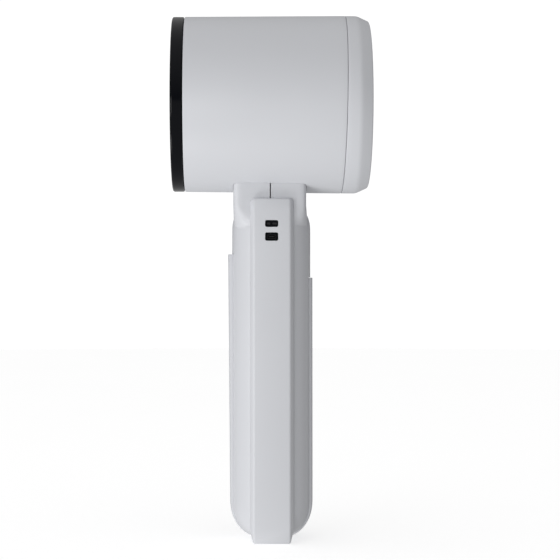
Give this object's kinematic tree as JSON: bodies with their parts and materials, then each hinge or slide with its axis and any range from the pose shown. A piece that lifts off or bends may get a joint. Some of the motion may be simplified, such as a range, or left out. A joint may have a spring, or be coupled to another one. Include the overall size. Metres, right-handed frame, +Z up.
{
  "type": "cordless fabric shaver",
  "caption": "White cordless fabric shaver: barrel head with a black cutter ring and a pull-off lint bin, on an upright handle with raised side strips",
  "frame": {"origin": "on the floor under the middle of the head, between the feet of the two side trims", "axes": "+Z up along the handle, +X along the head from the cutter to the lint bin, -Y towards the side with the indicator window"},
  "size_m": [0.0662, 0.0602, 0.1778],
  "materials": {
    "white_body": "satin white with a very fine texture",
    "grip_panel": "satin white with a very fine texture",
    "black_gloss": "polished black",
    "black_plastic": "fine matt moulding",
    "smoke_plastic": "smoked, glossy",
    "steel": "ground steel",
    "copper": "plain copper alloy",
    "rubber": "soft matt rubber",
    "board": "solder mask",
    "sleeve": "shrink sleeve",
    "led_lens": "clear lens",
    "wire_red": "soft wire insulation",
    "wire_black": "soft wire insulation"
  },
  "bodies": {
    "housing": {"barrel_shell": "white_body", "motor_bulkhead": "black_plastic", "motor_can": "steel", "motor_end_cap": "black_plastic", "motor_front_bush": "copper", "motor_screw_1": "steel", "motor_screw_2": "steel", "motor_terminal_1": "copper", "motor_terminal_2": "copper", "handle_front_shell": "white_body", "handle_rear_shell": "white_body", "side_trim_near": "white_body", "side_trim_far": "white_body", "front_grip_pad": "grip_panel", "rear_grip_pad": "grip_panel", "battery_cell": "sleeve", "battery_tab_top": "steel", "battery_tab_bottom": "steel", "control_board": "board", "switch_body": "black_plastic", "indicator_led_1": "led_lens", "indicator_led_2": "led_lens", "indicator_window": "smoke_plastic", "charge_socket": "black_plastic", "handle_screw_upper": "steel", "handle_screw_lower": "steel", "motor_lead_1": "wire_red", "motor_lead_2": "wire_black"},
    "rotor": {"drive_shaft": "steel", "armature": "steel", "commutator": "copper", "impeller": "black_plastic"},
    "cutter": {"blade_hub": "black_plastic", "blade_1": "steel", "blade_2": "steel", "blade_3": "steel", "blade_4": "steel", "blade_5": "steel", "blade_6": "steel", "hub_spring": "steel"},
    "foil_cassette": {"foil_guard": "steel", "foil_frame": "black_plastic"},
    "ring": {"front_ring": "black_gloss"},
    "lint_bin": {"lint_bin_cap": "white_body", "lint_bin_cup": "smoke_plastic", "bin_seal": "rubber"},
    "button": {"power_button": "white_body"}
  },
  "joints": [
    {"name": "rotor_spin", "type": "hinge", "parent": "housing", "child": "rotor", "pos_m": [0, 0, 0.1477], "axis": [1, 0, 0], "continuous": true},
    {"name": "cutter_float", "type": "slide", "parent": "rotor", "child": "cutter", "axis": [1, 0, 0], "range_m": [0, 0.0008], "stiffness_N_per_m": 400, "springref_m": -0.001, "deforming": ["hub_spring"]},
    {"name": "foil_pull", "type": "slide", "parent": "housing", "child": "foil_cassette", "axis": [-1, 0, 0], "range_m": [0, 0.02]},
    {"name": "ring_twist", "type": "hinge", "parent": "foil_cassette", "child": "ring", "pos_m": [0, 0, 0.1477], "axis": [-1, 0, 0], "range_deg": [0, 25]},
    {"name": "bin_pull", "type": "slide", "parent": "housing", "child": "lint_bin", "axis": [1, 0, 0], "range_m": [0, 0.03]},
    {"name": "power_press", "type": "slide", "parent": "housing", "child": "button", "axis": [-1, 0, 0], "range_m": [0, 0.0007], "stiffness_N_per_m": 500, "springref_m": -0.001}
  ]
}
